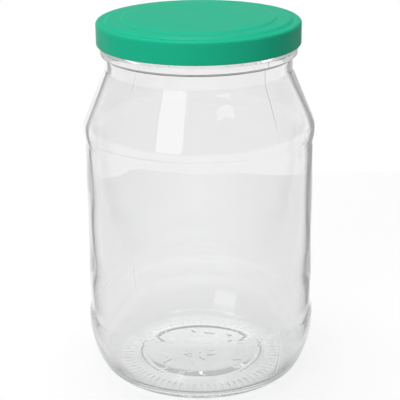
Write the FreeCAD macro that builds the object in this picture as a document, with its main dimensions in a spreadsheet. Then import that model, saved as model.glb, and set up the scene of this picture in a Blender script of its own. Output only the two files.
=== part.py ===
"""Preserving jar with a twist-off cap, modelled as three pieces: the glass jar, the pressed
steel cap and the sealing ring in the cap's channel.

Frame: millimetres, +Z up, origin on the axis at the plane that the jar stands on.
Radii are measured from the axis, heights from that plane.
"""

import FreeCAD
import Part
import Sketcher
import math
import os

doc = FreeCAD.newDocument("PreservingJar")

# ---------------------------------------------------------------- driving dimensions

DIMENSIONS = [
    # the glass body
    ("jar_height", 154.0, "glass alone, foot to sealing rim"),
    ("body_radius", 49.4, "lower bumper, the widest place"),
    ("shoulder_set_in", 0.35, "upper bumper inside the lower one"),
    ("panel_recess", 0.95, "label panel inside the lower bumper"),
    ("panel_swell", 0.4, "slight swell low on the label panel"),
    ("swell_height", 44.0, "height of that swell"),
    ("swell_reach", 13.0, "how far the swell runs up and down"),
    ("wall", 2.3, "glass wall of the panel and the shoulder"),
    ("bumper_height", 26.5, "top of the lower bumper"),
    ("bumper_ramp", 3.5, "slope from a bumper to the panel"),
    ("shoulder_drop", 42.6, "rim down to the shoulder's corner"),
    ("upper_bumper_height", 3.4, "straight height of the upper bumper"),
    ("shoulder_round", 8.0, "rounding over the shoulder"),
    ("neck_drop", 19.3, "rim down to the foot of the neck"),
    ("neck_round", 4.0, "rounding at the foot of the neck"),
    # the heel and the base
    ("heel_reach", 7.5, "heel's foot corner inside the bumper"),
    ("heel_rise", 14.7, "heel's side corner above the foot"),
    ("heel_round", 9.0, "rounding at the foot"),
    ("heel_side_round", 40.0, "rounding at the side of the heel"),
    ("bearing_reach", 19.4, "inner edge of the bearing ring inside the bumper"),
    ("recess_gap", 3.75, "bearing ring to the recess in the base"),
    ("recess_flank", 0.25, "radial run of the recess's steep edge"),
    ("recess_step", 1.2, "height of that edge"),
    ("base_slope_rise", 1.4, "rise from the bearing ring to the recess"),
    ("punt_rise", 0.8, "further rise to the middle of the base"),
    ("middle_flat", 12.0, "radius of the level middle of the base and floor"),
    # the inside of the base, which follows the outside as blown glass does
    ("base_thickness", 3.5, "glass in the middle of the base"),
    ("edge_thickness", 3.4, "glass under the floor's outer corner"),
    ("floor_reach", 5.95, "floor's outer corner inside the bumper's inner wall"),
    ("floor_round", 6.6, "rounding at that corner"),
    ("floor_rise", 0.5, "rise of the floor from that corner to its step"),
    ("floor_step_inset", 0.5, "foot of the floor's step inside the bearing ring"),
    ("floor_step_run", 5.0, "run of the step, over the recess's edge"),
    ("floor_step_round", 9.0, "rounding at the foot and the top of the step"),
    ("floor_crown", 0.8, "floor's middle above the top of the step"),
    ("inner_heel_rise", 15.7, "side corner of the inner heel"),
    ("inner_heel_round", 37.6, "rounding at the side of the inner heel"),
    # the closure
    ("cap_radius", 42.5, "outside of the cap's skirt"),
    ("cap_skirt", 9.5, "cap's rim down to the bottom of its curl"),
    ("gauge", 0.25, "steel sheet"),
    ("cap_corner", 1.2, "rounding of the cap's rim"),
    ("channel_width", 3.3, "rim to the groove in the cap's top"),
    ("groove_depth", 0.15, "groove below the rim"),
    ("ramp_width", 1.5, "groove up to the outer ring"),
    ("ring_level", 0.75, "outer ring above the rim"),
    ("ring_width", 5.2, "flat of the outer ring"),
    ("step_width", 1.0, "outer ring up to the middle panel"),
    ("panel_level", 1.25, "middle panel above the rim"),
    ("panel_bend", 0.8, "rounding of the pressed steps"),
    ("curl_size", 1.0, "height and width of the curled hem"),
    ("seal_thickness", 0.6, "sealing ring between rim and cap"),
    ("seal_width", 5.0, "radial width of the sealing ring"),
    # the glass finish that the cap turns on
    ("finish_set_in", 2.9, "finish wall inside the cap's outside"),
    ("rim_width", 2.7, "glass of the rim"),
    ("rim_outer_round", 1.2, "outer rounding of the rim"),
    ("rim_inner_round", 1.0, "inner rounding of the rim"),
    ("bead_reach", 1.75, "bead outside the finish wall"),
    ("bead_gap", 1.4, "bead below the cap's curl"),
    ("bead_height", 2.6, "height of the bead"),
    ("bead_round", 0.9, "rounding of the bead"),
    ("neck_set_in", 0.25, "neck inside the finish wall"),
    # lugs of the cap and the ridges they turn under
    ("lug_count", 6, "lugs, and ridges"),
    ("lug_reach", 1.4, "lug inside the curl"),
    ("lug_angle", 15.0, "angle that one lug spans"),
    ("lug_height", 0.8, "height of a lug"),
    ("lug_clearance", 0.1, "lug to ridge"),
    ("ridge_reach", 1.5, "ridge outside the finish wall"),
    ("ridge_height", 1.7, "height of a ridge's root"),
    ("ridge_crest", 0.7, "height of a ridge's crest"),
    ("ridge_pitch", 18.0, "rise of a ridge over a full turn"),
    ("ridge_turn", 44.0, "angle that one ridge spans"),
    # stippling on the bearing ring
    ("stipple_count", 72, "ribs on the bearing ring"),
    ("stipple_depth", 0.3, "depth between the ribs"),
    ("stipple_gap", 1.5, "width of the gap between two ribs"),
    ("stipple_inset", 0.5, "ribs in from the bearing ring's inner edge"),
    ("stipple_length", 4.1, "radial length of a rib"),
]

sheet = doc.addObject("Spreadsheet::Sheet", "Sizes")
for row, (alias, size, meaning) in enumerate(DIMENSIONS, start=1):
    sheet.set(f"A{row}", alias)
    sheet.set(f"B{row}", str(size))
    sheet.set(f"C{row}", meaning)
    sheet.setAlias(f"B{row}", alias)
doc.recompute()


def cell(alias):
    """The expression that reads one cell of the sheet."""
    return f"Sizes.{alias}"


def value(expression):
    """The number that an expression over the sheet gives now."""
    found = sheet.evalExpression(str(expression))
    return float(getattr(found, "Value", found))


# ---------------------------------------------------------------- derived places

S = {alias: cell(alias) for alias, _, _ in DIMENSIONS}

SHOULDER_RADIUS = f"({S['body_radius']} - {S['shoulder_set_in']})"
PANEL_RADIUS = f"({S['body_radius']} - {S['panel_recess']})"
FINISH_RADIUS = f"({S['cap_radius']} - {S['finish_set_in']})"
MOUTH_RADIUS = f"({FINISH_RADIUS} - {S['rim_width']})"
NECK_RADIUS = f"({FINISH_RADIUS} - {S['neck_set_in']})"
BEAD_RADIUS = f"({FINISH_RADIUS} + {S['bead_reach']})"
BEARING_RADIUS = f"({S['body_radius']} - {S['bearing_reach']})"
RECESS_EDGE = f"({BEARING_RADIUS} - {S['recess_gap']})"
HEEL_RADIUS = f"({S['body_radius']} - {S['heel_reach']})"

SEAL_TOP = f"({S['jar_height']} + {S['seal_thickness']})"
CAP_RIM = f"({SEAL_TOP} + {S['gauge']})"
CURL_BOTTOM = f"({CAP_RIM} - {S['cap_skirt']})"
GROOVE = f"({S['cap_radius']} - {S['channel_width']})"
RING_OUTER = f"({GROOVE} - {S['ramp_width']})"
RING_TOP = f"({CAP_RIM} + {S['ring_level']})"
BEAD_TOP = f"({CURL_BOTTOM} - {S['bead_gap']})"
BEAD_BOTTOM = f"({BEAD_TOP} - {S['bead_height']})"
NECK_FOOT = f"({S['jar_height']} - {S['neck_drop']})"
SHOULDER_HEIGHT = f"({S['jar_height']} - {S['shoulder_drop']})"
UPPER_BUMPER_FOOT = f"({SHOULDER_HEIGHT} - {S['upper_bumper_height']})"
PUNT_TOP = f"({S['base_slope_rise']} + {S['recess_step']} + {S['punt_rise']})"
FLOOR_TOP = f"({PUNT_TOP} + {S['base_thickness']})"


# ---------------------------------------------------------------- sketches

def plane(body, role):
    """One of the body's own origin planes or axes."""
    for feature in body.Origin.OriginFeatures:
        if feature.Role == role:
            return feature
    raise ValueError(role)


def new_body(label):
    body = doc.addObject("PartDesign::Body", label)
    body.Label = label
    return body


def new_sketch(body, name, role="XZ_Plane"):
    sketch = body.newObject("Sketcher::SketchObject", name)
    sketch.AttachmentSupport = (plane(body, role), [""])
    sketch.MapMode = "FlatFace"
    return sketch


def place_point(sketch, geometry, end, across, up):
    """Dimensions one point of a sketch from the origin, both sizes bound to the sheet."""
    for kind, expression, axis in (("DistanceX", across, -2), ("DistanceY", up, -1)):
        if expression == "0":
            sketch.addConstraint(Sketcher.Constraint("PointOnObject", geometry, end, axis))
            continue
        rule = Sketcher.Constraint(kind, -1, 1, geometry, end, value(expression))
        index = sketch.addConstraint(rule)
        sketch.setExpression(f"Constraints[{index}]", expression)


def unit(start, end):
    length = math.hypot(end[0] - start[0], end[1] - start[1])
    return ((end[0] - start[0]) / length, (end[1] - start[1]) / length), length


def rounded_outline(sketch, corners):
    """Closes a chain of straight runs through the corners (radius, height, rounding).

    Each rounding is an arc tangent to both of its runs, and the corner stays in the sketch
    as a construction point that carries the two dimensions.
    """
    count = len(corners)
    spots = [(value(across), value(up)) for across, up, _ in corners]
    trims = []
    arcs = {}
    for i, (_, _, rounding) in enumerate(corners):
        if rounding is None:
            trims.append((spots[i], spots[i]))
            continue
        back, back_length = unit(spots[i], spots[i - 1])
        ahead, ahead_length = unit(spots[i], spots[(i + 1) % count])
        half = math.acos(back[0] * ahead[0] + back[1] * ahead[1]) / 2
        radius = value(rounding)
        cut = radius / math.tan(half)
        first = (spots[i][0] + back[0] * cut, spots[i][1] + back[1] * cut)
        second = (spots[i][0] + ahead[0] * cut, spots[i][1] + ahead[1] * cut)
        middle = ((back[0] + ahead[0]) / 2, (back[1] + ahead[1]) / 2)
        reach = radius / math.sin(half) / math.hypot(*middle)
        centre = (spots[i][0] + middle[0] * reach, spots[i][1] + middle[1] * reach)
        trims.append((first, second))
        arcs[i] = (centre, radius, first, second, back, ahead)
    runs = []
    for i in range(count):
        start = trims[i][1]
        end = trims[(i + 1) % count][0]
        line = Part.LineSegment(FreeCAD.Vector(*start, 0), FreeCAD.Vector(*end, 0))
        runs.append(sketch.addGeometry(line, False))
    for i, (across, up, rounding) in enumerate(corners):
        before, after = runs[i - 1], runs[i]
        if rounding is None:
            sketch.addConstraint(Sketcher.Constraint("Coincident", before, 2, after, 1))
            place_point(sketch, after, 1, across, up)
            continue
        centre, radius, first, second, back, ahead = arcs[i]
        turns_left = back[0] * ahead[1] - back[1] * ahead[0] < 0
        start, end = (first, second) if turns_left else (second, first)
        circle = Part.Circle(FreeCAD.Vector(*centre, 0), FreeCAD.Vector(0, 0, 1), radius)
        angles = [math.atan2(p[1] - centre[1], p[0] - centre[0]) for p in (start, end)]
        if angles[1] < angles[0]:
            angles[1] += 2 * math.pi
        arc = sketch.addGeometry(Part.ArcOfCircle(circle, *angles), False)
        ends = (1, 2) if turns_left else (2, 1)
        sketch.addConstraint(Sketcher.Constraint("Tangent", before, 2, arc, ends[0]))
        sketch.addConstraint(Sketcher.Constraint("Tangent", arc, ends[1], after, 1))
        index = sketch.addConstraint(Sketcher.Constraint("Radius", arc, radius))
        sketch.setExpression(f"Constraints[{index}]", rounding)
        corner = sketch.addGeometry(Part.Point(FreeCAD.Vector(*spots[i], 0)), True)
        sketch.addConstraint(Sketcher.Constraint("PointOnObject", corner, 1, before))
        sketch.addConstraint(Sketcher.Constraint("PointOnObject", corner, 1, after))
        place_point(sketch, corner, 1, across, up)


def turn(body, kind, name, sketch):
    """A full turn of a sketch about the vertical axis."""
    feature = body.newObject(f"PartDesign::{kind}", name)
    feature.Profile = sketch
    feature.ReferenceAxis = (sketch, ["V_Axis"])
    feature.Angle = 360
    doc.recompute()
    return feature


def repeat_around(body, name, feature, count):
    """Copies one feature evenly around the vertical axis."""
    pattern = body.newObject("PartDesign::PolarPattern", name)
    pattern.Originals = [feature]
    pattern.Axis = (plane(body, "Z_Axis"), [""])
    pattern.Angle = 360
    pattern.setExpression("Occurrences", count)
    body.Tip = pattern
    doc.recompute()
    return pattern


# ---------------------------------------------------------------- the glass jar

def jar_outside(body):
    """Base with its recess, heel, bumpers, label panel, shoulder, neck, bead and rim."""
    recess_lip = f"({S['recess_step']} * 0.375)"
    recess_foot = S["base_slope_rise"]
    recess_top = f"({S['base_slope_rise']} + {S['recess_step']})"
    swell = f"({PANEL_RADIUS} + {S['panel_swell']})"
    ramp_top = f"({S['bumper_height']} + {S['bumper_ramp']})"
    swell_foot = f"({S['swell_height']} - {S['swell_reach']})"
    swell_top = f"({S['swell_height']} + {S['swell_reach']})"
    ramp_foot = f"({UPPER_BUMPER_FOOT} - {S['bumper_ramp']})"
    soft = f"({S['bumper_ramp']} * 1.4)"
    long_round = f"({S['swell_reach']} * 8)"
    corners = [
        ("0", PUNT_TOP, None),
        (S["middle_flat"], PUNT_TOP, f"({S['middle_flat']} * 8)"),
        (f"({RECESS_EDGE} - {S['recess_flank']})", recess_top, recess_lip),
        (RECESS_EDGE, recess_foot, recess_lip),
        (BEARING_RADIUS, "0", S["recess_step"]),
        (HEEL_RADIUS, "0", S["heel_round"]),
        (S["body_radius"], S["heel_rise"], S["heel_side_round"]),
        (S["body_radius"], S["bumper_height"], soft),
        (PANEL_RADIUS, ramp_top, f"({S['bumper_ramp']} * 0.9)"),
        (swell, S["swell_height"], long_round),
        (PANEL_RADIUS, swell_top, long_round),
        (PANEL_RADIUS, ramp_foot, soft),
        (SHOULDER_RADIUS, UPPER_BUMPER_FOOT, f"({S['upper_bumper_height']} * 0.8)"),
        (SHOULDER_RADIUS, SHOULDER_HEIGHT, S["shoulder_round"]),
        (NECK_RADIUS, NECK_FOOT, S["neck_round"]),
        (NECK_RADIUS, f"({BEAD_BOTTOM} - 0.5 * {S['bead_reach']})", S["bead_round"]),
        (BEAD_RADIUS, BEAD_BOTTOM, S["bead_round"]),
        (BEAD_RADIUS, BEAD_TOP, S["bead_round"]),
        (FINISH_RADIUS, f"({BEAD_TOP} + 0.4 * {S['bead_reach']})", f"({S['bead_round']} * 0.6)"),
        (FINISH_RADIUS, S["jar_height"], S["rim_outer_round"]),
        ("0", S["jar_height"], None),
    ]
    sketch = new_sketch(body, "JarOutline")
    rounded_outline(sketch, corners)
    return turn(body, "Revolution", "JarOutside", sketch)


def jar_inside(body):
    """The hollow: the wall is even, so it follows shoulder, bumpers, heel and the base's recess."""
    lean = f"(({SHOULDER_RADIUS} - {NECK_RADIUS}) / ({NECK_FOOT} - {SHOULDER_HEIGHT}))"
    across = f"({S['wall']} * sqrt(1 + {lean} * {lean}))"
    inner_neck = f"({NECK_FOOT} - ({MOUTH_RADIUS} - {NECK_RADIUS} + {across}) / {lean})"
    inner_shoulder = f"({SHOULDER_HEIGHT} + ({S['wall']} - {across}) / {lean})"
    behind_shoulder = f"({SHOULDER_RADIUS} - {S['wall']})"
    behind_panel = f"({PANEL_RADIUS} - {S['wall']})"
    behind_bumper = f"({S['body_radius']} - {S['wall']})"
    panel_top = f"({UPPER_BUMPER_FOOT} - {S['bumper_ramp']})"
    panel_foot = f"({S['bumper_height']} + {S['bumper_ramp']})"
    soft = f"({S['bumper_ramp']} * 3)"
    corner_reach = f"({behind_bumper} - {S['floor_reach']})"
    step_foot = f"({BEARING_RADIUS} - {S['floor_step_inset']})"
    step_top = f"({step_foot} - {S['floor_step_run']})"
    corners = [
        ("0", f"({S['jar_height']} + 1)", None),
        (f"({MOUTH_RADIUS} + {S['rim_inner_round']})", f"({S['jar_height']} + 1)", None),
        (f"({MOUTH_RADIUS} + {S['rim_inner_round']})", S["jar_height"], None),
        (MOUTH_RADIUS, f"({S['jar_height']} - {S['rim_inner_round']})", None),
        (MOUTH_RADIUS, inner_neck, S["neck_round"]),
        (behind_shoulder, inner_shoulder, f"({S['shoulder_round']} * 0.9)"),
        (behind_shoulder, UPPER_BUMPER_FOOT, soft),
        (behind_panel, panel_top, soft),
        (behind_panel, panel_foot, soft),
        (behind_bumper, S["bumper_height"], soft),
        (behind_bumper, S["inner_heel_rise"], S["inner_heel_round"]),
        (corner_reach, S["edge_thickness"], S["floor_round"]),
        (step_foot, f"({S['edge_thickness']} + {S['floor_rise']})", S["floor_step_round"]),
        (step_top, f"({FLOOR_TOP} - {S['floor_crown']})", S["floor_step_round"]),
        (S["middle_flat"], FLOOR_TOP, f"({S['middle_flat']} * 5)"),
        ("0", FLOOR_TOP, None),
    ]
    sketch = new_sketch(body, "HollowOutline")
    rounded_outline(sketch, corners)
    return turn(body, "Groove", "JarHollow", sketch)


def ridges(body):
    """Short inclined ridges around the finish, which the cap's lugs turn under."""
    foot = f"({CURL_BOTTOM} + {S['lug_height']} + {S['lug_clearance']})"
    crest_foot = f"({foot} + 0.2 * {S['ridge_height']})"
    root = f"({FINISH_RADIUS} - {S['neck_set_in']})"
    crest = f"({FINISH_RADIUS} + {S['ridge_reach']})"
    corners = [
        (root, foot, None),
        (FINISH_RADIUS, foot, None),
        (crest, crest_foot, None),
        (crest, f"({crest_foot} + {S['ridge_crest']})", None),
        (FINISH_RADIUS, f"({foot} + {S['ridge_height']})", None),
        (root, f"({foot} + {S['ridge_height']})", None),
    ]
    sketch = new_sketch(body, "RidgeSection")
    rounded_outline(sketch, corners)
    ridge = body.newObject("PartDesign::AdditiveHelix", "Ridge")
    ridge.Profile = sketch
    ridge.ReferenceAxis = (sketch, ["V_Axis"])
    ridge.Mode = "height-turns-angle"
    ridge.setExpression("Height", f"{S['ridge_pitch']} * {S['ridge_turn']} / 360")
    ridge.setExpression("Turns", f"{S['ridge_turn']} / 360")
    doc.recompute()
    return repeat_around(body, "Ridges", ridge, S["lug_count"])


def stipple(body):
    """Gaps pressed into the bearing ring, which leave a ring of short radial ribs."""
    sketch = new_sketch(body, "StippleGap", "XY_Plane")
    half = f"({S['stipple_gap']} / 2)"
    near = f"({BEARING_RADIUS} + {S['stipple_inset']})"
    far = f"({near} + {S['stipple_length']})"
    corners = [
        (near, f"(-{half})", None),
        (far, f"(-{half})", None),
        (far, half, None),
        (near, half, None),
    ]
    rounded_outline(sketch, corners)
    gap = body.newObject("PartDesign::Pocket", "StippleCut")
    gap.Profile = sketch
    gap.Reversed = True
    gap.setExpression("Length", S["stipple_depth"])
    doc.recompute()
    return repeat_around(body, "Stipple", gap, S["stipple_count"])


def glass_jar():
    body = new_body("glass_jar")
    jar_outside(body)
    jar_inside(body)
    ridges(body)
    stipple(body)
    return body


# ---------------------------------------------------------------- the cap

def cap_shell(body):
    """The drawn cap: stepped top, rounded rim and straight skirt, one thickness of sheet."""
    ring_inner = f"({RING_OUTER} - {S['ring_width']})"
    middle = f"({ring_inner} - {S['step_width']})"
    panel_top = f"({CAP_RIM} + {S['panel_level']})"
    hem = f"({CURL_BOTTOM} + {S['curl_size']} / 2)"
    corners = [
        ("0", panel_top, None),
        ("0", hem, None),
        (S["cap_radius"], hem, None),
        (S["cap_radius"], CAP_RIM, S["cap_corner"]),
        (f"({GROOVE} + {S['panel_bend']})", CAP_RIM, S["panel_bend"]),
        (GROOVE, f"({CAP_RIM} - {S['groove_depth']})", S["panel_bend"]),
        (RING_OUTER, RING_TOP, S["panel_bend"]),
        (ring_inner, RING_TOP, S["panel_bend"]),
        (middle, panel_top, S["panel_bend"]),
    ]
    sketch = new_sketch(body, "CapOutline")
    rounded_outline(sketch, corners)
    solid = turn(body, "Revolution", "CapForm", sketch)
    shell = body.newObject("PartDesign::Thickness", "CapShell")
    open_face = lowest_face(solid)
    shell.Base = (solid, [open_face])
    shell.Mode = "Skin"
    shell.Join = "Intersection"
    shell.Reversed = True
    shell.setExpression("Value", S["gauge"])
    body.Tip = shell
    doc.recompute()
    return shell


def lowest_face(feature):
    """The name of the level face at the bottom of a feature."""
    faces = feature.Shape.Faces
    heights = [face.CenterOfMass.z for face in faces]
    return f"Face{heights.index(min(heights)) + 1}"


def cap_curl(body):
    """The hem at the bottom of the skirt, rolled inwards into a small tube."""
    half = f"({S['curl_size']} / 2)"
    centre = (f"({S['cap_radius']} - {half})", f"({CURL_BOTTOM} + {half})")
    sketch = new_sketch(body, "CurlSection")
    spot = FreeCAD.Vector(value(centre[0]), value(centre[1]), 0)
    radii = (half, f"({half} - {S['gauge']})")
    for radius in radii:
        circle = Part.Circle(spot, FreeCAD.Vector(0, 0, 1), value(radius))
        ring = sketch.addGeometry(circle, False)
        place_point(sketch, ring, 3, *centre)
        index = sketch.addConstraint(Sketcher.Constraint("Radius", ring, value(radius)))
        sketch.setExpression(f"Constraints[{index}]", radius)
    return turn(body, "Revolution", "CapCurl", sketch)


def lugs(body):
    """Tongues pressed in from the hem, which hold the cap under the glass ridges."""
    root = f"({S['cap_radius']} - {S['gauge']} / 2)"
    nose = f"({S['cap_radius']} - {S['curl_size']} - {S['lug_reach']})"
    top = f"({CURL_BOTTOM} + {S['lug_height']})"
    corners = [
        (nose, f"({CURL_BOTTOM} + {S['gauge']})", None),
        (root, f"({CURL_BOTTOM} + {S['gauge']})", None),
        (root, top, None),
        (nose, top, None),
    ]
    sketch = new_sketch(body, "LugSection")
    rounded_outline(sketch, corners)
    lug = turn(body, "Revolution", "Lug", sketch)
    lug.setExpression("Angle", S["lug_angle"])
    doc.recompute()
    return repeat_around(body, "Lugs", lug, S["lug_count"])


def cap():
    body = new_body("cap")
    cap_shell(body)
    cap_curl(body)
    lugs(body)
    return body


# ---------------------------------------------------------------- the sealing ring

def sealing_ring():
    """The soft ring cast in the cap's channel, one gauge clear of its bends, on the glass rim."""
    body = new_body("sealing_ring")
    outer = f"({S['cap_radius']} - {S['cap_corner']})"
    inner = f"({outer} - {S['seal_width']})"
    under_ring = f"({RING_TOP} - {S['gauge']})"
    under_groove = f"({SEAL_TOP} - {S['groove_depth']})"
    corners = [
        (inner, S["jar_height"], None),
        (outer, S["jar_height"], None),
        (outer, SEAL_TOP, None),
        (f"({GROOVE} + {S['panel_bend']} + {S['gauge']})", SEAL_TOP, None),
        (f"({GROOVE} + {S['gauge']})", under_groove, None),
        (f"({GROOVE} - {S['gauge']})", under_groove, None),
        (f"({RING_OUTER} - {S['gauge']})", under_ring, None),
        (inner, under_ring, None),
    ]
    sketch = new_sketch(body, "SealSection")
    rounded_outline(sketch, corners)
    turn(body, "Revolution", "SealRing", sketch)
    return body


# ---------------------------------------------------------------- build, test and write

pieces = [glass_jar(), cap(), sealing_ring()]
doc.recompute()

for item in doc.Objects:
    if "Invalid" in item.State or "Error" in item.State:
        raise RuntimeError(f"{item.Name} failed: {item.State}")
os.makedirs("parts", exist_ok=True)
for piece in pieces:
    shape = piece.Shape
    if shape.isNull() or not shape.isValid() or not shape.Solids:
        raise RuntimeError(f"{piece.Label} has no valid solid")
for piece in pieces:
    shape = piece.Shape
    shape.exportStep(os.path.join("parts", f"{piece.Label}.step"))
    box = shape.BoundBox
    print(f"{piece.Label}: {len(shape.Solids)} solid, {shape.Volume / 1000:.2f} cm3, "
          f"{box.XLength:.2f} x {box.YLength:.2f} x {box.ZLength:.2f} mm")
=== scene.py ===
# %% [markdown]
# # A preserving jar and its twist-off cap
# The jar is blown from clear soda-lime glass in a two-part mould. The cap is drawn from tinplate,
# enamelled green outside and lacquered gold inside. A ring of soft compound seals the two.
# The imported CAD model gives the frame: each piece here is made in that frame, in metres.

# %% Load the frame
import math

import bpy
import numpy as np
from mathutils import Matrix, Vector


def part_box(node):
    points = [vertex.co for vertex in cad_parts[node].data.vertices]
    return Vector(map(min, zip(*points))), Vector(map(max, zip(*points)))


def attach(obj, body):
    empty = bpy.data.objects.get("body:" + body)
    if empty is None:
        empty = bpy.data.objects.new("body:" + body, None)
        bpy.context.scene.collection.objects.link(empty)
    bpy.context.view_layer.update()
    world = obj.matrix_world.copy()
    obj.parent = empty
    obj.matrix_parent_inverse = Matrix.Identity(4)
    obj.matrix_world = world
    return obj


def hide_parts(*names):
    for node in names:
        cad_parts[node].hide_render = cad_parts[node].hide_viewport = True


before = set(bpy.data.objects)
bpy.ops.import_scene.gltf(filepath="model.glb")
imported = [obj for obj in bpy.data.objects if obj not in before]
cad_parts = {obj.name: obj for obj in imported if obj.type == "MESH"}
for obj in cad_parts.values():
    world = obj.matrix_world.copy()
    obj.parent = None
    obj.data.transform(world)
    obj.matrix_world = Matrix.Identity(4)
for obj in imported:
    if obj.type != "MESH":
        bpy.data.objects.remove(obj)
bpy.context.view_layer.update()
mm = 0.001
print("nodes:", sorted(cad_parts))


# %% [markdown]
# ## The camera
# A jar is usually seen through a long lens from a little above, so that the cap's top shows
# as a flat ellipse and the sides stay almost parallel. The camera aims by a pitch and a slight roll.

# %% Camera
CAMERA_BACK = 517.8 * mm
CAMERA_HEIGHT = 262.6 * mm
CAMERA_PITCH = math.radians(19.86)
CAMERA_ROLL = math.radians(0.47)
CAMERA_LENS = 114.4  # focal length in millimetres, on a sensor 36 mm wide

camera_data = bpy.data.cameras.new("camera")
camera_data.lens = CAMERA_LENS
camera_data.sensor_width = 36.0
camera = bpy.data.objects.new("camera", camera_data)
bpy.context.scene.collection.objects.link(camera)
aim = Matrix.Rotation(math.pi / 2 - CAMERA_PITCH, 4, "X") @ Matrix.Rotation(-CAMERA_ROLL, 4, "Z")
camera.matrix_world = Matrix.Translation((0, -CAMERA_BACK, CAMERA_HEIGHT)) @ aim
bpy.context.scene.camera = camera
print(f"camera: {CAMERA_BACK / mm:.0f} mm back, {CAMERA_HEIGHT / mm:.0f} mm up, {CAMERA_LENS} mm lens")


# %% [markdown]
# ## Profiles
# Glass and drawn steel are both straight runs joined by roundings. A profile is given by its corners,
# each with a radius, a height and a rounding, and the arcs are worked out from those.

# %% Rounded profiles
CHORD = 0.012  # how far an arc's chords may lie inside it, in millimetres


def unit(vector):
    return vector / np.linalg.norm(vector)


def rounded_profile(corners, spacing=2.0):
    """Points along a chain of corners (radius, height, rounding), in millimetres.

    An arc touches both runs of its corner. Its ends lie rounding / tan(half) from the corner, where half
    is half the angle between the runs, and its centre lies rounding / sin(half) along the bisector.
    Runs are then divided evenly so that no two points are further apart than spacing.
    """
    spots = np.array([corner[:2] for corner in corners], float)
    stretches = [spots[:1]]
    for i in range(1, len(corners) - 1):
        rounding = corners[i][2]
        if not rounding:
            stretches.append(spots[i : i + 1])
            continue
        back, ahead = unit(spots[i - 1] - spots[i]), unit(spots[i + 1] - spots[i])
        half = np.arccos(np.clip(back @ ahead, -1, 1)) / 2
        centre = spots[i] + unit(back + ahead) * rounding / np.sin(half)
        start = spots[i] + back * rounding / np.tan(half) - centre
        side = -np.sign(back[0] * ahead[1] - back[1] * ahead[0])
        turn = np.pi - 2 * half
        step = min(0.3, 2 * np.arccos(1 - CHORD / rounding))
        angles = side * np.linspace(0, turn, int(np.ceil(turn / step)) + 1)
        turned_r = start[0] * np.cos(angles) - start[1] * np.sin(angles)
        turned_z = start[0] * np.sin(angles) + start[1] * np.cos(angles)
        stretches.append(centre + np.stack([turned_r, turned_z], 1))
    stretches.append(spots[-1:])
    return divide(np.concatenate(stretches), spacing)


def divide(points, spacing):
    """Adds evenly spaced points, so that no run of the chain is longer than spacing."""
    runs = np.diff(points, axis=0)
    parts = np.ceil(np.linalg.norm(runs, axis=1) / spacing).astype(int).clip(1)
    owner = np.repeat(np.arange(len(runs)), parts)
    place = np.arange(len(owner)) - np.repeat(np.cumsum(parts) - parts, parts)
    inside = points[owner] + runs[owner] * (place / parts[owner])[:, None]
    return np.concatenate([inside, points[-1:]])


def profile_normals(points):
    """Unit normals on the right of a chain's way: the tangent, from the points either side, turned."""
    tangent = np.gradient(points, axis=0)
    normal = np.stack([tangent[:, 1], -tangent[:, 0]], 1)
    return normal / np.linalg.norm(normal, axis=1)[:, None]


# %% [markdown]
# ## Turned surfaces
# A piece of revolution is a grid: one parameter runs along the profile, the other round the axis.
# Where ribs need it, a ring gets twice the columns, and the rows between are stitched with triangles.

# %% Rings into a mesh
def stitch(first, second):
    """Faces between two rings of vertex numbers: quads, fans to a pole, or one column to two."""
    if len(first) == len(second):
        return [np.stack([first, np.roll(first, -1), np.roll(second, -1), second], 1)]
    if len(first) == 1:
        return [np.stack([np.repeat(first, len(second)), np.roll(second, -1), second], 1)]
    if len(second) == 1:
        return [np.stack([first, np.roll(first, -1), np.repeat(second, len(first))], 1)]
    if len(second) == 2 * len(first):
        ahead, middle = np.roll(first, -1), second[1::2]
        left, right = second[::2], np.roll(second[::2], -1)
        return [
            np.stack([first, middle, left], 1),
            np.stack([first, ahead, middle], 1),
            np.stack([ahead, right, middle], 1),
        ]
    return [face[:, ::-1] for face in stitch(second, first)]


def turned_mesh(name, rings, closed=False):
    """A mesh from rings of points, each an array of columns by 3, in millimetres.

    A ring of one point is a pole. A closed chain joins its last ring to its first.
    Returns the object and, for each face, the number of the ring that it starts from.
    """
    sizes = np.array([len(ring) for ring in rings])
    starts = np.cumsum(sizes) - sizes
    numbers = [start + np.arange(size) for start, size in zip(starts, sizes)]
    pairs = list(zip(numbers[:-1], numbers[1:]))
    if closed:
        pairs.append((numbers[-1], numbers[0]))
    faces, owners = [], []
    for index, (first, second) in enumerate(pairs):
        for block in stitch(first, second):
            faces += block.tolist()
            owners += [index] * len(block)
    mesh = bpy.data.meshes.new(name)
    mesh.from_pydata((np.concatenate(rings) * mm).tolist(), [], faces)
    mesh.polygons.foreach_set("use_smooth", np.ones(len(faces), bool))
    mesh.update()
    piece = bpy.data.objects.new(name, mesh)
    bpy.context.scene.collection.objects.link(piece)
    triangles = sum(len(face) - 2 for face in faces)
    print(f"{name}: {len(rings)} rings, {triangles} triangles, {volume_of(mesh):.1f} cm3")
    return piece, np.array(owners)


def volume_of(mesh):
    """Volume in cubic centimetres: the sum of signed tetrahedra from the origin to each triangle."""
    mesh.calc_loop_triangles()
    points = np.empty(len(mesh.vertices) * 3)
    mesh.vertices.foreach_get("co", points)
    corners = np.empty(len(mesh.loop_triangles) * 3, int)
    mesh.loop_triangles.foreach_get("vertices", corners)
    a, b, c = points.reshape(-1, 3)[corners.reshape(-1, 3)].transpose(1, 0, 2)
    return float(np.sum(np.cross(a, b) * c) / 6 * 1e6)


def ring_points(radius, height, angles):
    """Points round the axis: radius and height may change with the angle."""
    x, y = radius * np.cos(angles), radius * np.sin(angles)
    return np.stack(np.broadcast_arrays(x, y, height), -1)


def smooth(share):
    """A soft step: 0 below 0, 1 above 1, and 3 t^2 - 2 t^3 between them."""
    t = np.clip(share, 0, 1)
    return t * t * (3 - 2 * t)


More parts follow.
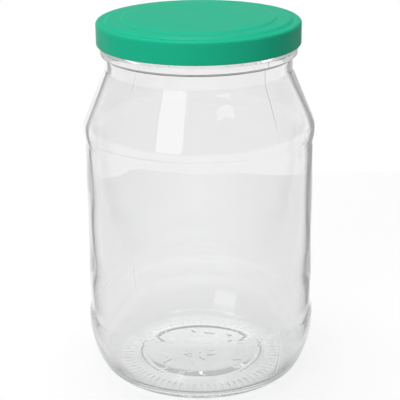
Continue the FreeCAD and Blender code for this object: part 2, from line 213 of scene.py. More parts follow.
# %% [markdown]
# ## The glass jar
# One skin runs from the middle of the base, out over the bearing ring, up the heel, the label panel
# and the shoulder, over the rim, and down inside to the middle of the floor. The inside can't be
# measured from outside, so its shape is a guess: an even wall that follows the outer one, and a
# floor that steps up to the middle. Such a wall bends the light into dark lines at its edges.

# %% Sizes of the glass
_, jar_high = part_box("glass_jar")
JAR_HEIGHT = jar_high.z / mm
BODY_RADIUS = min(jar_high.x, jar_high.y) / mm
SHOULDER_RADIUS = BODY_RADIUS - 0.35
PANEL_RADIUS = BODY_RADIUS - 0.95
PANEL_SWELL = 0.4
WALL = 2.3
BUMPER_HEIGHT = 26.5
BUMPER_RAMP = 3.5
SHOULDER_HEIGHT = JAR_HEIGHT - 42.6
UPPER_BUMPER_FOOT = SHOULDER_HEIGHT - 3.4
FINISH_RADIUS = 39.6
NECK_RADIUS = FINISH_RADIUS - 0.25
NECK_FOOT = JAR_HEIGHT - 19.3
MOUTH_RADIUS = FINISH_RADIUS - 2.7
BEAD_RADIUS = FINISH_RADIUS + 1.75
BEAD_TOP = JAR_HEIGHT - 10.05
BEAD_BOTTOM = BEAD_TOP - 2.6
BEARING_INNER = BODY_RADIUS - 19.4
HEEL_RADIUS = BODY_RADIUS - 7.5
HEEL_TOP = 14.7
INNER_HEEL_TOP = 15.7
SWELL_FOOT, SWELL_TOP = 44, 57
MIDDLE_FLAT = 12
RECESS_EDGE = BEARING_INNER - 3.75
RECESS_FOOT = 1.4
RECESS_TOP = RECESS_FOOT + 1.2
PUNT_TOP = RECESS_TOP + 0.8
BASE_THICKNESS = 3.5
FLOOR_TOP = PUNT_TOP + BASE_THICKNESS
FLOOR_REACH = 5.95
EDGE_THICKNESS = 3.4
FLOOR_RISE = 0.5
STEP_RUN = 5.0
FLOOR_CROWN = 0.8
print(f"jar: {JAR_HEIGHT:.1f} mm tall, {2 * BODY_RADIUS:.1f} mm wide")


# %% The outer and inner profile
outer_corners = [
    (0, PUNT_TOP, 0),
    (MIDDLE_FLAT, PUNT_TOP, 96),
    (RECESS_EDGE - 0.25, RECESS_TOP, 0.45),
    (RECESS_EDGE, RECESS_FOOT, 0.45),
    (BEARING_INNER, 0, 1.2),
    (HEEL_RADIUS, 0, 9),
    (BODY_RADIUS, HEEL_TOP, 40),
    (BODY_RADIUS, BUMPER_HEIGHT, 4.9),
    (PANEL_RADIUS, BUMPER_HEIGHT + BUMPER_RAMP, 3.2),
    (PANEL_RADIUS + PANEL_SWELL, SWELL_FOOT, 104),
    (PANEL_RADIUS, SWELL_TOP, 104),
    (PANEL_RADIUS, UPPER_BUMPER_FOOT - BUMPER_RAMP, 4.9),
    (SHOULDER_RADIUS, UPPER_BUMPER_FOOT, 2.7),
    (SHOULDER_RADIUS, SHOULDER_HEIGHT, 8),
    (NECK_RADIUS, NECK_FOOT, 4),
    (NECK_RADIUS, BEAD_BOTTOM - 0.9, 0.9),
    (BEAD_RADIUS, BEAD_BOTTOM, 0.9),
    (BEAD_RADIUS, BEAD_TOP, 0.9),
    (FINISH_RADIUS, BEAD_TOP + 0.7, 0.55),
    (FINISH_RADIUS, JAR_HEIGHT, 1.2),
    ((FINISH_RADIUS + MOUTH_RADIUS) / 2, JAR_HEIGHT, 0),
]
LEAN = (SHOULDER_RADIUS - NECK_RADIUS) / (NECK_FOOT - SHOULDER_HEIGHT)
ACROSS = WALL * math.hypot(1, LEAN)
BEHIND_SHOULDER, BEHIND_PANEL, BEHIND_BUMPER = (
    radius - WALL for radius in (SHOULDER_RADIUS, PANEL_RADIUS, BODY_RADIUS)
)
STEP_FOOT = BEARING_INNER - 0.5
inner_corners = [
    ((FINISH_RADIUS + MOUTH_RADIUS) / 2, JAR_HEIGHT, 0),
    (MOUTH_RADIUS, JAR_HEIGHT, 1.0),
    (MOUTH_RADIUS, NECK_FOOT - (MOUTH_RADIUS - NECK_RADIUS + ACROSS) / LEAN, 4),
    (BEHIND_SHOULDER, SHOULDER_HEIGHT + (WALL - ACROSS) / LEAN, 7.2),
    (BEHIND_SHOULDER, UPPER_BUMPER_FOOT, 10.5),
    (BEHIND_PANEL, UPPER_BUMPER_FOOT - BUMPER_RAMP, 10.5),
    (BEHIND_PANEL, BUMPER_HEIGHT + BUMPER_RAMP, 10.5),
    (BEHIND_BUMPER, BUMPER_HEIGHT, 10.5),
    (BEHIND_BUMPER, INNER_HEEL_TOP, 37.6),
    (BEHIND_BUMPER - FLOOR_REACH, EDGE_THICKNESS, 6.6),
    (STEP_FOOT, EDGE_THICKNESS + FLOOR_RISE, 9),
    (STEP_FOOT - STEP_RUN, FLOOR_TOP - FLOOR_CROWN, 9),
    (MIDDLE_FLAT, FLOOR_TOP, 60),
    (0, FLOOR_TOP, 0),
]
outer_profile = rounded_profile(outer_corners, 1.6)
MARKED_RADIUS = RECESS_EDGE - 1.8  # inside this radius the base has marks and finer rings
marked = (outer_profile[:, 0] < MARKED_RADIUS) & (outer_profile[:, 1] < 10)
outer_profile = np.concatenate([divide(outer_profile[marked], 0.8), outer_profile[~marked]])
inner_profile = rounded_profile(inner_corners, 2.2)[1:]
print(f"outer profile {len(outer_profile)} points, inner {len(inner_profile)}")


# %% [markdown]
# ## Relief on the glass
# The mould leaves more than the plain form: six slanted ridges that the cap's lugs turn under,
# short ribs on the bearing ring, a few plain raised bars in the base's recess, and a fine line
# where the mould's halves met. Each is a height added along the surface's normal.

# %% Relief
RIDGES = 6
RIDGE_FOOT = JAR_HEIGHT - 7.75
RIDGE_TURN = math.radians(44)
RIDGE_RISE = 18.0 / (2 * math.pi)
RIBS = 72
RIB_DEPTH = 0.2
RIBBED_WIDTH = 5.2
SEAM_ANGLE = math.radians(-48)
SEAM_HEIGHT = 0.13
SKIN_ROOM = 0.14  # the wall's outer skin lies this far inside the CAD's, to leave room for the relief


def ridge_relief(angle, height):
    """Six ridges: each climbs with the angle, is rounded across, and fades out at its two ends."""
    along = np.mod(angle, 2 * math.pi / RIDGES)
    middle = RIDGE_FOOT + 0.75 + RIDGE_RISE * along
    across = smooth(1.35 * (1 - np.abs(height - middle) / 1.05))
    ends = smooth((RIDGE_TURN - along) / 0.09) * smooth(along / 0.05)
    return 1.5 * across * ends


def rib_relief(angle, radius):
    """Ribs on the bearing ring: the gaps between them are sunk by a rounded square wave."""
    wave = smooth(0.5 + 1.3 * np.cos(RIBS * angle))
    outward = radius - BEARING_INNER
    window = smooth((outward - 0.3) / 0.8) * smooth((4.9 - outward) / 0.9)
    return -RIB_DEPTH * wave * window


MARKS = [  # radius, angle, turn to the radius and length of each short bar
    (19.5, 0.2, 0.1, 3.4), (18.0, 0.42, 1.5, 2.6), (20.5, 0.9, 0.8, 2.2), (17.5, 1.35, 1.6, 3.6),
    (19.8, 1.75, 0.2, 2.8), (18.4, 2.5, 1.2, 3.2), (20.0, 2.8, 0.5, 2.4), (17.8, 3.6, 1.5, 3.0),
    (19.2, 3.85, 0.1, 3.2), (10.5, 4.1, 1.5, 3.4), (11.5, 4.75, 0.6, 2.6), (9.5, 5.2, 1.4, 3.0),
    (15.4, 4.45, 0.3, 2.6), (19.9, 5.6, 0.9, 2.6), (17.6, 5.95, 1.6, 2.8),
]


def mark_relief(angle, radius):
    """Plain marks in the recess: short round-ended bars at scattered places, none of them a letter."""
    x, y = radius * np.cos(angle), radius * np.sin(angle)
    raised = 0 * angle
    for mark_radius, mark_angle, turn, length in MARKS:
        away_x, away_y = x - mark_radius * np.cos(mark_angle), y - mark_radius * np.sin(mark_angle)
        way = mark_angle + turn
        along = away_x * np.cos(way) + away_y * np.sin(way)
        across = away_y * np.cos(way) - away_x * np.sin(way)
        beyond = np.maximum(np.abs(along) - length / 2, 0)
        raised = np.maximum(raised, smooth((1.0 - np.hypot(across, beyond)) / 0.7))
    return 0.2 * raised


def seam_relief(angle, height):
    """The mould's parting line: a narrow ridge at two opposite angles, all but gone on the panel."""
    away = np.abs(np.mod(angle - SEAM_ANGLE + math.pi / 2, math.pi) - math.pi / 2)
    kept = smooth((height - 104) / 20) + smooth((50 - height) / 15)
    return SEAM_HEIGHT * kept * smooth(1 - away / 0.009)


def ripple(angle, height, seed, amount):
    """Unevenness of blown glass: ten long waves round and along the wall, with fixed random phases."""
    random = np.random.default_rng(seed)
    total = 0
    for _ in range(10):
        turns, phase, length = random.integers(1, 8), random.uniform(0, 6.28), random.uniform(24, 90)
        total = total + np.sin(turns * angle + 2 * math.pi * height / length + phase)
    return amount * total / 10


# %% [markdown]
# ## Rings of the jar
# Each point of the profile becomes a ring, pushed out along its normal by the reliefs that lie there.
# The seam is narrower than the even columns, so a few more stand beside it, and the ribs get twice
# as many. The inside has no relief but a slow ripple of its own, which makes the wall uneven.

# %% Build the jar
COLUMNS = 276
even = np.linspace(0, 2 * math.pi, COLUMNS, endpoint=False)
beside_seam = np.array([-0.018, -0.009, -0.0045, 0, 0.0045, 0.009, 0.018])
both_seams = np.concatenate([SEAM_ANGLE + beside_seam, SEAM_ANGLE + math.pi + beside_seam])
extra = np.mod(both_seams, 2 * math.pi)
gap = np.abs(even[:, None] - extra[None, :]).min(1)
columns = np.sort(np.concatenate([even[gap > 0.004], extra]))
half_way = columns + np.diff(np.append(columns, columns[0] + 2 * math.pi)) / 2
fine_columns = np.stack([columns, half_way], 1).ravel()


def jar_ring(normal, radius, height):
    """One ring of the outer skin: the profile point moved along its normal by all the reliefs."""
    on_base = height < 5 and radius < HEEL_RADIUS
    ribbed = on_base and BEARING_INNER < radius < BEARING_INNER + RIBBED_WIDTH
    angles = fine_columns if ribbed else columns
    raised = 0 * angles
    if ribbed:
        raised = raised + rib_relief(angles, radius)
    elif on_base and radius < MARKED_RADIUS:
        raised = raised + mark_relief(angles, radius)
    elif height > BEAD_TOP + 0.6 and height < JAR_HEIGHT - 1.5:
        raised = raised + ridge_relief(angles, height)
    elif 8 < height < BEAD_TOP:
        fade = smooth((height - 8) / 8)
        raised = raised + fade * (seam_relief(angles, height) + ripple(angles, height, 3, 0.05))
        raised = raised - fade * SKIN_ROOM
    return ring_points(radius + raised * normal[0], height + raised * normal[1], angles)


outer_normals = profile_normals(outer_profile)
rings = [ring_points(0, PUNT_TOP, np.zeros(1))]
for (radius, height), normal in zip(outer_profile[1:], outer_normals[1:]):
    rings.append(jar_ring(normal, radius, height))
inner_normals = profile_normals(inner_profile)
for (radius, height), normal in zip(inner_profile[:-1], inner_normals[:-1]):
    fade = smooth((JAR_HEIGHT - height) / 20) * smooth((radius - 20) / 20)
    raised = fade * ripple(columns, height, 11, 0.22)
    rings.append(ring_points(radius + raised * normal[0], height + raised * normal[1], columns))
rings.append(ring_points(0, FLOOR_TOP, np.zeros(1)))
jar, _ = turned_mesh("jar_glass", rings)


# %% [markdown]
# ## The cap
# The cap is one disc of tinplate, drawn and then rolled in at its hem. Its top steps up twice, which
# stiffens it and leaves room for the sealing ring. The outer face of the sheet is the enamelled one:
# it carries on round the hem, so only the face that looks down and in is gold.
# The sheet's section is its outer line, with a second line one thickness behind it.

# %% Sizes of the cap
cap_low, cap_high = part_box("cap")
CAP_TOP = cap_high.z / mm
CAP_RADIUS = min(cap_high.x, cap_high.y) / mm
HEM_BOTTOM = cap_low.z / mm
SHEET = 0.25
CAP_RIM = CAP_TOP - 1.25
HEM_SIZE = 1.0
GROOVE = CAP_RADIUS - 3.3
RING_OUTER = GROOVE - 1.5
RING_INNER = RING_OUTER - 5.2
LUG_REACH = 1.4
LUG_TURN = math.radians(15)
print(f"cap: {2 * CAP_RADIUS:.1f} mm wide, {CAP_TOP - HEM_BOTTOM:.1f} mm deep")


# %% Build the cap
hem_middle = np.array([CAP_RADIUS - HEM_SIZE / 2, HEM_BOTTOM + HEM_SIZE / 2])
roll = np.radians(np.linspace(48, 360, 27))
hem_line = hem_middle + HEM_SIZE / 2 * np.stack([np.cos(roll), np.sin(roll)], 1)
top_corners = [
    (CAP_RADIUS, HEM_BOTTOM + HEM_SIZE / 2, 0),
    (CAP_RADIUS, CAP_RIM, 1.2),
    (GROOVE + 0.8, CAP_RIM, 0.8),
    (GROOVE, CAP_RIM - 0.15, 0.8),
    (RING_OUTER, CAP_RIM + 0.75, 0.8),
    (RING_INNER, CAP_RIM + 0.75, 0.8),
    (RING_INNER - 1.0, CAP_TOP, 0.8),
    (0, CAP_TOP, 0),
]
outer_line = np.concatenate([hem_line[:-1], rounded_profile(top_corners, 1.5)])
inner_line = outer_line - SHEET * profile_normals(outer_line)
section = np.concatenate([inner_line[::-1], outer_line])

CAP_COLUMNS = 360
cap_angles = np.linspace(0, 2 * math.pi, CAP_COLUMNS, endpoint=False)
lug_place = np.mod(cap_angles, 2 * math.pi / RIDGES)
lug_share = smooth(lug_place / 0.045) * smooth((LUG_TURN - lug_place) / 0.045)


def cap_ring(radius, height):
    """A ring of the cap: the hem's inner side is pressed inwards and thinner where a lug is."""
    on_hem = height < HEM_BOTTOM + HEM_SIZE + 0.01
    inward = smooth((CAP_RADIUS - SHEET - radius) / 0.6) * on_hem
    pressed = lug_share * inward
    middle = HEM_BOTTOM + 0.45
    thinned = height + 0.35 * pressed * (middle - height)
    return ring_points(radius - LUG_REACH * pressed, thinned, cap_angles)


cap_rings = [ring_points(0, section[0, 1], np.zeros(1))]
cap_rings += [cap_ring(radius, height) for radius, height in section[1:-1]]
cap_rings.append(ring_points(0, section[-1, 1], np.zeros(1)))
cap, cap_owner = turned_mesh("cap_steel", cap_rings)
cap_enamelled = cap_owner >= len(inner_line) - 1


# %% [markdown]
# ## The sealing ring
# A bead of compound is cast into the cap's channel and cured. The glass rim beds into it. It is a
# closed ring: its section is a short chain that joins its own start.

# %% Build the sealing ring
seal_low, seal_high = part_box("sealing_ring")
SEAL_FOOT = seal_low.z / mm
SEAL_TOP = SEAL_FOOT + 0.6
SEAL_OUTER = min(seal_high.x, seal_high.y) / mm
SEAL_INNER = SEAL_OUTER - 5.0
seal_line = np.array([
    (SEAL_OUTER, SEAL_FOOT),
    (SEAL_OUTER, SEAL_TOP),
    (GROOVE + 1.05, SEAL_TOP),
    (GROOVE - 0.25, SEAL_TOP - 0.15),
    (RING_OUTER - 0.25, seal_high.z / mm),
    (SEAL_INNER, seal_high.z / mm),
    (SEAL_INNER, SEAL_FOOT),
])
seal_rings = [ring_points(radius, height, cap_angles[::2]) for radius, height in seal_line]
seal, _ = turned_mesh("seal_ring", seal_rings, closed=True)


# %% [markdown]
# ## Finishes
# Enamel and lacquer are both sprayed on and stoved, so both dry with the same faint orange peel.
# That effect is a node group with its own inputs. It gives out a height for a bump and a mask for
# the slight change of shade. Each shader stays in its own material.

# %% A group for the orange peel
def group_socket(group, name, kind, way, value=None):
    socket = group.interface.new_socket(name=name, in_out=way, socket_type=kind)
    if value is not None:
        socket.default_value = value
    return socket


def orange_peel_group():
    """Fine rounded bumps from one noise, and broad patches of shade from a slower one."""
    group = bpy.data.node_groups.new("orange_peel", "ShaderNodeTree")
    group_socket(group, "Vector", "NodeSocketVector", "INPUT")
    group_socket(group, "Peel size", "NodeSocketFloat", "INPUT", 900.0)
    group_socket(group, "Patch size", "NodeSocketFloat", "INPUT", 60.0)
    group_socket(group, "Height", "NodeSocketFloat", "OUTPUT")
    group_socket(group, "Shade", "NodeSocketFloat", "OUTPUT")
    nodes, links = group.nodes, group.links
    source, result = nodes.new("NodeGroupInput"), nodes.new("NodeGroupOutput")
    peel, patch = nodes.new("ShaderNodeTexNoise"), nodes.new("ShaderNodeTexNoise")
    peel.inputs["Detail"].default_value = 2.0
    patch.inputs["Detail"].default_value = 4.0
    for noise, size in ((peel, "Peel size"), (patch, "Patch size")):
        links.new(source.outputs["Vector"], noise.inputs["Vector"])
        links.new(source.outputs[size], noise.inputs["Scale"])
    links.new(peel.outputs["Fac"], result.inputs["Height"])
    links.new(patch.outputs["Fac"], result.inputs["Shade"])
    return group


orange_peel = orange_peel_group()


# %% Material helpers
def new_material(name):
    """A material with its default Principled shader. Returns material, nodes, links and shader."""
    material = bpy.data.materials.new(name)
    material.use_nodes = True
    nodes, links = material.node_tree.nodes, material.node_tree.links
    return material, nodes, links, nodes["Principled BSDF"]


def object_place(nodes):
    return nodes.new("ShaderNodeTexCoord").outputs["Object"]


def shaded(nodes, links, factor, low, high):
    """A colour that runs from low to high with a factor."""
    mix = nodes.new("ShaderNodeMix")
    mix.data_type = "RGBA"
    mix.inputs["A"].default_value = (*low, 1)
    mix.inputs["B"].default_value = (*high, 1)
    links.new(factor, mix.inputs["Factor"])
    return mix.outputs["Result"]


def ranged(nodes, links, factor, low, high, start=0.35, stop=0.65):
    """A number that runs from low to high as the factor runs from start to stop."""
    node = nodes.new("ShaderNodeMapRange")
    for name, number in (("From Min", start), ("From Max", stop), ("To Min", low), ("To Max", high)):
        node.inputs[name].default_value = number
    links.new(factor, node.inputs["Value"])
    return node.outputs["Result"]


def bumped(nodes, links, height, strength, distance):
    bump = nodes.new("ShaderNodeBump")
    bump.inputs["Strength"].default_value = strength
    bump.inputs["Distance"].default_value = distance
    links.new(height, bump.inputs["Height"])
    return bump.outputs["Normal"]


# %% Coated sheet: enamel and lacquer
def coated_sheet(name, low, high, metal, rough, peel_size, bump_depth):
    """Stoved coating on steel: shade, roughness and bump all follow the orange peel."""
    material, nodes, links, shader = new_material(name)
    peel = nodes.new("ShaderNodeGroup")
    peel.node_tree = orange_peel
    peel.inputs["Peel size"].default_value = peel_size
    links.new(object_place(nodes), peel.inputs["Vector"])
    shader.inputs["Metallic"].default_value = metal
    shader.inputs["Specular IOR Level"].default_value = 0.05
    links.new(shaded(nodes, links, peel.outputs["Shade"], low, high), shader.inputs["Base Color"])
    roughness = ranged(nodes, links, peel.outputs["Shade"], rough - 0.04, rough + 0.04)
    links.new(roughness, shader.inputs["Roughness"])
    links.new(bumped(nodes, links, peel.outputs["Height"], 0.25, bump_depth), shader.inputs["Normal"])
    return material


green_enamel = coated_sheet(
    "green_enamel", (0.013, 0.505, 0.29), (0.018, 0.545, 0.315), 0.0, 0.34, 900, 0.00002
)
gold_lacquer = coated_sheet(
    "gold_lacquer", (0.34, 0.31, 0.26), (0.40, 0.365, 0.31), 1.0, 0.32, 1100, 0.00004
)
cap.data.materials.append(green_enamel)
cap.data.materials.append(gold_lacquer)
cap.data.polygons.foreach_set("material_index", np.where(cap_enamelled, 0, 1).astype(np.int32))
print(f"cap: {int(cap_enamelled.sum())} faces enamelled, {int((~cap_enamelled).sum())} lacquered")


# %% [markdown]
# ## Sealing compound
# The compound is a soft, matt, warm white plastic with a faint mottle.

# %% Compound
def seal_compound():
    material, nodes, links, shader = new_material("seal_compound")
    noise = nodes.new("ShaderNodeTexNoise")
    noise.inputs["Scale"].default_value = 350.0
    links.new(object_place(nodes), noise.inputs["Vector"])
    colour = shaded(nodes, links, noise.outputs["Fac"], (0.60, 0.57, 0.49), (0.70, 0.67, 0.60))
    links.new(colour, shader.inputs["Base Color"])
    shader.inputs["Roughness"].default_value = 0.6
    links.new(bumped(nodes, links, noise.outputs["Fac"], 0.3, 0.0001), shader.inputs["Normal"])
    return material


seal.data.materials.append(seal_compound())


# %% [markdown]
# ## Clear glass
# The shader bends light at each face and takes away nothing. What little the glass swallows depends
# on how far light travels in it, so it is a volume absorption: thick places come out greyer.
# A slow ripple in the surface gives the reflections of blown glass their soft bends.
# Rays from lamps pass straight through, so that the jar's shadow is light.
# A ray caught inside the wall ends as black after four reflections, which real glass never does, so
# it is given a little light instead. Its amount is a given number: it is no property of glass.

# %% Glass
TRAPPED_LIGHT = 0.3  # what a ray sees after its fourth reflection in the glass


def clear_glass():
    material, nodes, links, shader = new_material("clear_glass")
    shader.inputs["Base Color"].default_value = (0.94, 0.94, 0.94, 1)
    shader.inputs["Roughness"].default_value = 0.0
    shader.inputs["IOR"].default_value = 1.52
    shader.inputs["Transmission Weight"].default_value = 1.0
    ripple_noise = nodes.new("ShaderNodeTexNoise")
    ripple_noise.inputs["Scale"].default_value = 45.0
    ripple_noise.inputs["Detail"].default_value = 0.0
    links.new(object_place(nodes), ripple_noise.inputs["Vector"])
    normal = bumped(nodes, links, ripple_noise.outputs["Fac"], 0.35, 0.0002)
    links.new(normal, shader.inputs["Normal"])
    absorption = nodes.new("ShaderNodeVolumeAbsorption")
    absorption.inputs["Color"].default_value = (0.74, 0.80, 0.78, 1)
    absorption.inputs["Density"].default_value = 12.0
    output = nodes["Material Output"]
    links.new(absorption.outputs["Volume"], output.inputs["Volume"])
    clear, mix, path = (
        nodes.new("ShaderNodeBsdfTransparent"),
        nodes.new("ShaderNodeMixShader"),
        nodes.new("ShaderNodeLightPath"),
    )
    clear.inputs["Color"].default_value = (0.9, 0.92, 0.91, 1)
    links.new(path.outputs["Is Shadow Ray"], mix.inputs["Fac"])
    trapped = ranged(nodes, links, path.outputs["Glossy Depth"], 0.0, TRAPPED_LIGHT, 3, 4)
    links.new(trapped, shader.inputs["Emission Strength"])
    shader.inputs["Emission Color"].default_value = (1, 1, 1, 1)
    material.cycles.emission_sampling = "NONE"
    links.new(shader.outputs["BSDF"], mix.inputs[1])
    links.new(clear.outputs["BSDF"], mix.inputs[2])
    links.new(mix.outputs["Shader"], output.inputs["Surface"])
    return material


jar.data.materials.append(clear_glass())


# %% [markdown]
# ## Floor, surroundings and lamps
# Glass shows nothing but what stands round it. Pale paper lies under the jar, and the surroundings
# are white low down and dimmer above. The camera sees plain white beyond the jar, by Light Path, and
# the floor keeps a faint shadow. The helpers below tell the kinds of ray apart and join numbers.

# %% Light path helper
def seen_ray(nodes, links, names):
    """1 for a ray of any of the named kinds."""
    path = nodes.new("ShaderNodeLightPath")
    total = path.outputs[names[0]]
    for name in names[1:]:
        most = nodes.new("ShaderNodeMath")
        most.operation = "MAXIMUM"
        links.new(total, most.inputs[0])
        links.new(path.outputs[name], most.inputs[1])
        total = most.outputs[0]
    return total


def either(nodes, links, chosen, first, second):
    """The first number where chosen is 0, the second where it is 1; the second may be a plain one."""
    mix = nodes.new("ShaderNodeMix")
    links.new(chosen, mix.inputs[0])
    links.new(first, mix.inputs[2])
    if isinstance(second, float):
        mix.inputs[3].default_value = second
    else:
        links.new(second, mix.inputs[3])
    return mix.outputs[0]


def times(nodes, links, first, second):
    """The product of two numbers from nodes."""
    product = nodes.new("ShaderNodeMath")
    product.operation = "MULTIPLY"
    links.new(first, product.inputs[0])
    links.new(second, product.inputs[1])
    return product.outputs[0]


# %% [markdown]
# ## Dark flags beside the backdrop
# The outer two millimetres of a jar's wall bend light by up to thirty degrees, so a thin line there
# shows what stands well to the side. A studio puts dark flags there to draw the glass's edge.
# Floor and surroundings share them as one node group, which gives out a mask. They are no objects:
# only rays that the jar or cap has bent or reflected find them, so the backdrop stays white. They
# suit the main view. From a quarter view one shows through the glass as a large grey shape.

# %% A group for the flags
FLAG_RIGHT, FLAG_LEFT, FLAG_END = 0.31, 0.50, 0.70


def side_flags_group():
    """A mask: the share hidden by a flag, which stands between two slanting lines on either side.

    On the right x - 0.31 y is above Start and x - 0.70 y is below Far. On the left -x replaces x, and
    0.50 replaces 0.31. Both flags stand behind the jar, where y is above 0.
    """
    group = bpy.data.node_groups.new("side_flags", "ShaderNodeTree")
    group_socket(group, "Vector", "NodeSocketVector", "INPUT")
    for name in ("Start", "End", "Far"):
        group_socket(group, name, "NodeSocketFloat", "INPUT", 0.0)
    group_socket(group, "Mask", "NodeSocketFloat", "OUTPUT")
    nodes, links = group.nodes, group.links
    source = nodes.new("NodeGroupInput")
    result = nodes.new("NodeGroupOutput")

    def side_distance(right, left):
        """The larger of x - right y and -x - left y."""
        most = nodes.new("ShaderNodeMath")
        most.operation = "MAXIMUM"
        for number, slant in enumerate(((1, -right, 0), (-1, -left, 0))):
            along = nodes.new("ShaderNodeVectorMath")
            along.operation = "DOT_PRODUCT"
            along.inputs[1].default_value = slant
            links.new(source.outputs["Vector"], along.inputs[0])
            links.new(along.outputs["Value"], most.inputs[number])
        return most.outputs[0]

    def step(distance, low, high, start, end):
        """A step from low to high between two of the group's inputs."""
        risen = ranged(nodes, links, distance, low, high)
        links.new(source.outputs[start], risen.node.inputs["From Min"])
        links.new(source.outputs[end], risen.node.inputs["From Max"])
        return risen

    beyond = step(side_distance(FLAG_RIGHT, FLAG_LEFT), 0.0, 1.0, "Start", "End")
    within = step(side_distance(FLAG_END, FLAG_END), 1.0, 0.0, "End", "Far")
    split = nodes.new("ShaderNodeSeparateXYZ")
    links.new(source.outputs["Vector"], split.inputs[0])
    behind = ranged(nodes, links, split.outputs["Y"], 0.0, 1.0, -0.02, 0.02)
    hidden = times(nodes, links, times(nodes, links, beyond, within), behind)
    links.new(hidden, result.inputs["Mask"])
    return group


side_flags = side_flags_group()


def flag_light(nodes, links, place, edges, light):
    """1 in the open and the given light where a flag stands."""
    flags = nodes.new("ShaderNodeGroup")
    flags.node_tree = side_flags
    for name, number in zip(("Start", "End", "Far"), edges):
        flags.inputs[name].default_value = number
    links.new(place, flags.inputs["Vector"])
    return ranged(nodes, links, flags.outputs["Mask"], 1.0, light, 0, 1)


# %% [markdown]
# ## Paper under the jar
# White paper in a studio is lit so strongly that a jar's shadow on it nearly goes. Light on the paper
# alone would leave a dark shadow, so part of what is seen is its own light, which differs for the
# camera and for rays that the jar has bent or reflected. For those it is brighter along the middle
# and under the back of the base, darker in a crescent at the front of the foot, and dark where a
# flag stands. The amounts were chosen for the main view.

# %% Floor
FOOT_SHADE = 0.85
FLOOR_TO_CAMERA, POOL_LIGHT, SIDE_LIGHT = 0.71, 0.67, 0.59
FLOOR_FLAG_EDGES, FLOOR_FLAG_LIGHT = (0.055, 0.07, 0.12), 0.15
TABLE_LEFT, TABLE_RIGHT, TABLE_FRONT, TABLE_BACK = -0.8, 0.8, -1.0, 0.26
floor_mesh = bpy.data.meshes.new("floor")
floor_corners = [
    (TABLE_LEFT, TABLE_FRONT, 0),
    (TABLE_RIGHT, TABLE_FRONT, 0),
    (TABLE_RIGHT, TABLE_BACK, 0),
    (TABLE_LEFT, TABLE_BACK, 0),
]
floor_mesh.from_pydata(floor_corners, [], [(0, 1, 2, 3)])
floor = bpy.data.objects.new("floor", floor_mesh)
bpy.context.scene.collection.objects.link(floor)


def floor_paper():
    """Pale paper: part of what is seen is its own light, so that the shadow on it stays faint."""
    material, nodes, links, shader = new_material("floor_paper")
    shader.inputs["Base Color"].default_value = (0.33, 0.33, 0.33, 1)
    shader.inputs["Roughness"].default_value = 1.0
    shader.inputs["Specular IOR Level"].default_value = 0.0
    shader.inputs["Emission Color"].default_value = (1, 1, 1, 1)
    seen = seen_ray(nodes, links, ("Is Glossy Ray", "Is Transmission Ray"))
    split, aside = nodes.new("ShaderNodeSeparateXYZ"), nodes.new("ShaderNodeMath")
    links.new(object_place(nodes), split.inputs[0])
    aside.operation = "ABSOLUTE"
    links.new(split.outputs["X"], aside.inputs[0])
    # Painted pool of light for bent and reflected rays: the floor's own light is brighter along the
    # middle and dimmer to the sides.
    painted_light_pool = ranged(nodes, links, aside.outputs[0], POOL_LIGHT, SIDE_LIGHT, 0.015, 0.06)
    reach = nodes.new("ShaderNodeVectorMath")
    reach.operation = "LENGTH"
    links.new(object_place(nodes), reach.inputs[0])
    # Painted shadow: the floor's own light is cut in a crescent round the front of the foot.
    within = ranged(nodes, links, reach.outputs["Value"], 0.0, FOOT_SHADE, 0.037, 0.043)
    without = ranged(nodes, links, reach.outputs["Value"], 1.0, 0.0, 0.046, 0.056)
    ahead = ranged(nodes, links, split.outputs["Y"], 1.0, 0.0, -0.03, 0.005)
    shade = times(nodes, links, times(nodes, links, within, without), ahead)
    unshaded = ranged(nodes, links, shade, 1, 0, 0, 1)
    glow = times(nodes, links, times(nodes, links, seen, painted_light_pool), unshaded)
    # Painted dark flags: the floor's own light is dimmed where a flag stands, though no flag is there.
    flags = flag_light(nodes, links, object_place(nodes), FLOOR_FLAG_EDGES, FLOOR_FLAG_LIGHT)
    glow = times(nodes, links, glow, flags)
    # Painted light: the floor's own light is up to half as bright again under the back of the base.
    beneath = ranged(nodes, links, reach.outputs["Value"], 1.0, 0.0, 0.03, 0.045)
    towards_back = ranged(nodes, links, split.outputs["Y"], 0.1, 0.5, -0.005, 0.025)
    painted_light_under_base = times(nodes, links, beneath, towards_back)
    glow = times(nodes, links, glow, ranged(nodes, links, painted_light_under_base, 1, 2, 0, 1))
    camera_ray = seen_ray(nodes, links, ("Is Camera Ray",))
    strength = either(nodes, links, camera_ray, glow, FLOOR_TO_CAMERA)
    links.new(strength, shader.inputs["Emission Strength"])
    return material


floor_mesh.materials.append(floor_paper())


# %% [markdown]
# ## The room round the jar
# The room is a world that each kind of ray sees its own way: glass and gloss see it white low down and
# dimmer above, matt surfaces see an even low light, and the camera sees plain white.

# %% Surroundings
LOW_LIGHT, HIGH_LIGHT, GLOSS_LIGHT, DIFFUSE_LIGHT = 1.0, 0.5, 0.25, 0.3
ROOM_FLAG_EDGES, ROOM_FLAG_LIGHT = (0.0, 0.05, 0.2), 0.4


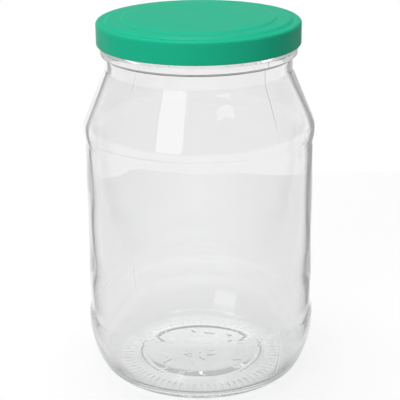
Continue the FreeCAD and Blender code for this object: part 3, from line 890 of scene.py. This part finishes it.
def studio_world():
    """White below the horizon and dimmer above it for glass and gloss, even for matt surfaces."""
    world = bpy.data.worlds.new("studio")
    world.use_nodes = True
    nodes, links = world.node_tree.nodes, world.node_tree.links
    split = nodes.new("ShaderNodeSeparateXYZ")
    direction = nodes.new("ShaderNodeTexCoord").outputs["Generated"]
    links.new(direction, split.inputs[0])
    open_share = flag_light(nodes, links, direction, ROOM_FLAG_EDGES, ROOM_FLAG_LIGHT)
    strength = ranged(nodes, links, split.outputs["Z"], LOW_LIGHT, HIGH_LIGHT, -0.05, 0.2)
    strength = times(nodes, links, strength, open_share)
    gloss = ranged(nodes, links, split.outputs["Z"], LOW_LIGHT, GLOSS_LIGHT, -0.05, 0.2)
    gloss = times(nodes, links, gloss, open_share)
    for name, other in (
        ("Is Glossy Ray", gloss),
        ("Is Diffuse Ray", DIFFUSE_LIGHT),
        ("Is Camera Ray", 1.0),
    ):
        strength = either(nodes, links, seen_ray(nodes, links, (name,)), strength, other)
    links.new(strength, nodes["Background"].inputs["Strength"])
    nodes["Background"].inputs["Color"].default_value = (1, 1, 1, 1)
    return world


bpy.context.scene.world = studio_world()


# %% [markdown]
# ## Lamps
# A large soft box on the left makes the broad highlight on the shoulder, and lights the cap's front
# too. A very narrow one on the right adds a short mark beside it. A wide lamp overhead lights the
# cap's top. The last lights the cap's skirt and is kept out of all reflections.

# %% Lamps
def soft_box(name, place, target, width, height, radiance, seen=True, roll=0.0):
    """A rectangular lamp. Its power is radiance x pi x area, so radiance is how bright it looks."""
    data = bpy.data.lights.new(name, "AREA")
    data.shape = "RECTANGLE"
    data.size, data.size_y = width, height
    data.energy = radiance * math.pi * width * height
    lamp = bpy.data.objects.new(name, data)
    bpy.context.scene.collection.objects.link(lamp)
    way = Vector(target) - Vector(place)
    turned = way.to_track_quat("-Z", "Y").to_matrix().to_4x4() @ Matrix.Rotation(roll, 4, "Z")
    lamp.matrix_world = Matrix.Translation(place) @ turned
    lamp.visible_camera = False
    lamp.visible_glossy = lamp.visible_transmission = seen
    print(f"{name}: {width} by {height} m, {data.energy:.2f} W")


soft_box("key", (-0.66, -1.12, 0.78), (0, 0, 0.12), 0.66, 0.95, 1.4)
soft_box("strip", (0.66, -1.16, 0.8105), (0.01, -0.04, 0.127), 0.46, 0.018, 1.5, roll=-0.1)
soft_box("top", (-0.1, 0.1, 1.4), (0, 0, 0.15), 0.9, 0.9, 3.9)
soft_box("front", (-0.9, -1.5, 0.6), (0, 0, 0.12), 1.2, 1.0, 3.1, seen=False)


# %% [markdown]
# ## Fit to the frame
# Each piece stands for one solid of the CAD model and rides on the only body. The floor is staging.

# %% Fit the pieces to the frame
for piece, node, slot_name in (
    (jar, "glass_jar", "clear_glass"),
    (cap, "cap", "green_enamel"),
    (seal, "sealing_ring", "seal_compound"),
):
    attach(piece, "root")
    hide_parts(node)
bpy.context.scene.view_settings.view_transform = "Standard"
